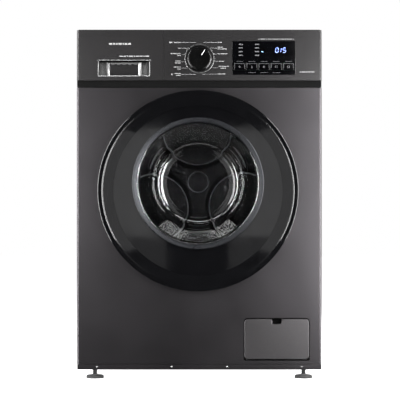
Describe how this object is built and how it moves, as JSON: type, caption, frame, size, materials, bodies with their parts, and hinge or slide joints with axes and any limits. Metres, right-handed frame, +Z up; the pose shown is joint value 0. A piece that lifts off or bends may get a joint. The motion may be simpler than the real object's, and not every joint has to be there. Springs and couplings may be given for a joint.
{
  "type": "front load washing machine",
  "caption": "Slim front load washing machine: charcoal cabinet, round glass door, detergent drawer, programme knob, keys, sprung tub with belt driven drum, drain filter and flap.",
  "frame": {"origin": "on the floor, at the middle of the machine bounding box", "axes": "+X right seen from the front, +Y from the front to the back, +Z up; the door faces -Y"},
  "size_m": [0.595, 0.495, 0.85],
  "materials": {
    "charcoal_paint": "satin metallic charcoal paint on sheet steel",
    "lid_board": "satin charcoal laminate over a pressed board",
    "fascia_paint": "satin metallic charcoal paint on moulded plastic",
    "dark_plastic": "fine matt black moulding",
    "gloss_black": "high gloss black",
    "chrome": "bright plated ring",
    "clear_glass": "thick clear pressed glass",
    "stainless": "brushed stainless steel",
    "zinc_steel": "galvanised sheet steel",
    "grey_plastic": "mineral filled grey plastic",
    "pale_plastic": "white moulded plastic",
    "blue_plastic": "blue moulded plastic",
    "grey_rubber": "grey EPDM rubber",
    "black_rubber": "black rubber",
    "concrete": "cast concrete",
    "cast_alloy": "die cast alloy",
    "circuit_board": "solder masked circuit board"
  },
  "bodies": {
    "cabinet": {"side_panel_left": "charcoal_paint", "side_panel_right": "charcoal_paint", "rear_panel": "zinc_steel", "rear_access_cover": "zinc_steel", "top_cover": "lid_board", "base_pan": "zinc_steel", "front_panel": "charcoal_paint", "plinth_strip": "charcoal_paint", "recess_strip": "dark_plastic", "inlet_valve": "pale_plastic", "drain_outlet": "grey_plastic", "mains_gland": "black_rubber", "control_fascia": "fascia_paint", "display_window": "gloss_black", "control_board": "circuit_board", "knob_ring": "chrome", "dispenser_housing": "pale_plastic", "door_hinge_bracket": "cast_alloy", "door_lock": "pale_plastic", "door_gasket": "grey_rubber", "spring_left": "zinc_steel", "spring_right": "zinc_steel", "damper_left": "grey_plastic", "damper_right": "grey_plastic", "filter_recess": "dark_plastic", "drain_pump": "grey_plastic"},
    "door": {"door_outer_ring": "gloss_black", "door_cover": "gloss_black", "door_inner_frame": "dark_plastic", "door_hinge_arm": "cast_alloy", "door_latch_hook": "cast_alloy", "door_glass": "clear_glass"},
    "drawer": {"drawer_front": "fascia_paint", "drawer_tray": "pale_plastic", "siphon_cap": "blue_plastic"},
    "knob": {"programme_knob": "gloss_black"},
    "tub": {"tub_front": "grey_plastic", "tub_rear": "grey_plastic", "counterweight": "concrete", "drive_belt": "black_rubber", "motor_housing": "cast_alloy", "heater": "stainless"},
    "drum_assembly": {"drum": "stainless", "drum_lifter_1": "stainless", "drum_lifter_2": "stainless", "drum_lifter_3": "stainless", "drum_spider": "cast_alloy", "drum_pulley": "cast_alloy"},
    "motor_rotor": {"motor_pulley": "zinc_steel"},
    "flap": {"filter_flap": "fascia_paint"},
    "drain_cap": {"filter_cap": "pale_plastic"},
    "key_1_body": {"key_1": "gloss_black"},
    "key_2_body": {"key_2": "gloss_black"},
    "key_3_body": {"key_3": "gloss_black"},
    "key_4_body": {"key_4": "gloss_black"},
    "key_5_body": {"key_5": "gloss_black"},
    "foot_1_body": {"foot_1": "black_rubber"},
    "foot_2_body": {"foot_2": "black_rubber"},
    "foot_3_body": {"foot_3": "black_rubber"},
    "foot_4_body": {"foot_4": "black_rubber"}
  },
  "joints": [
    {"name": "door_hinge", "type": "hinge", "parent": "cabinet", "child": "door", "pos_m": [-0.235, -0.235, 0.459], "axis": [0, 0, -1], "range_deg": [0, 130]},
    {"name": "drawer_slide", "type": "slide", "parent": "cabinet", "child": "drawer", "axis": [0, -1, 0], "range_m": [0, 0.18]},
    {"name": "knob_turn", "type": "hinge", "parent": "cabinet", "child": "knob", "pos_m": [0.0005, -0.22, 0.78], "axis": [0, 1, 0], "continuous": true},
    {"name": "tub_float", "type": "slide", "parent": "cabinet", "child": "tub", "axis": [0, 0, 1], "range_m": [-0.008, 0.008], "stiffness_N_per_m": 14000, "springref_m": 0.0165, "deforming": ["spring_left", "spring_right", "damper_left", "damper_right", "door_gasket"]},
    {"name": "drum_spin", "type": "hinge", "parent": "tub", "child": "drum_assembly", "pos_m": [-0.003, 0, 0.482], "axis": [0, 1, 0], "continuous": true},
    {"name": "motor_spin", "type": "hinge", "parent": "tub", "child": "motor_rotor", "pos_m": [0.107, 0.12, 0.182], "axis": [0, 1, 0], "continuous": true},
    {"name": "flap_hinge", "type": "hinge", "parent": "cabinet", "child": "flap", "pos_m": [0.188, -0.2119, 0.0497], "axis": [1, 0, 0], "range_deg": [0, 90]},
    {"name": "drain_cap_turn", "type": "hinge", "parent": "cabinet", "child": "drain_cap", "pos_m": [0.188, -0.19, 0.092], "axis": [0, -1, 0], "range_deg": [0, 180]},
    {"name": "key_1_press", "type": "slide", "parent": "cabinet", "child": "key_1_body", "axis": [0, 1, 0], "range_m": [0, 0.0012], "stiffness_N_per_m": 400, "springref_m": -0.001},
    {"name": "key_2_press", "type": "slide", "parent": "cabinet", "child": "key_2_body", "axis": [0, 1, 0], "range_m": [0, 0.0012], "stiffness_N_per_m": 400, "springref_m": -0.001},
    {"name": "key_3_press", "type": "slide", "parent": "cabinet", "child": "key_3_body", "axis": [0, 1, 0], "range_m": [0, 0.0012], "stiffness_N_per_m": 400, "springref_m": -0.001},
    {"name": "key_4_press", "type": "slide", "parent": "cabinet", "child": "key_4_body", "axis": [0, 1, 0], "range_m": [0, 0.0012], "stiffness_N_per_m": 400, "springref_m": -0.001},
    {"name": "key_5_press", "type": "slide", "parent": "cabinet", "child": "key_5_body", "axis": [0, 1, 0], "range_m": [0, 0.0012], "stiffness_N_per_m": 400, "springref_m": -0.001},
    {"name": "foot_1_turn", "type": "hinge", "parent": "cabinet", "child": "foot_1_body", "pos_m": [-0.255, -0.17, 0.02], "axis": [0, 0, 1], "continuous": true},
    {"name": "foot_2_turn", "type": "hinge", "parent": "cabinet", "child": "foot_2_body", "pos_m": [0.255, -0.17, 0.02], "axis": [0, 0, 1], "continuous": true},
    {"name": "foot_3_turn", "type": "hinge", "parent": "cabinet", "child": "foot_3_body", "pos_m": [-0.255, 0.205, 0.02], "axis": [0, 0, 1], "continuous": true},
    {"name": "foot_4_turn", "type": "hinge", "parent": "cabinet", "child": "foot_4_body", "pos_m": [0.255, 0.205, 0.02], "axis": [0, 0, 1], "continuous": true}
  ],
  "couplings": [
    {"joint": "motor_spin", "follows": "drum_spin", "ratio": 11.667}
  ]
}
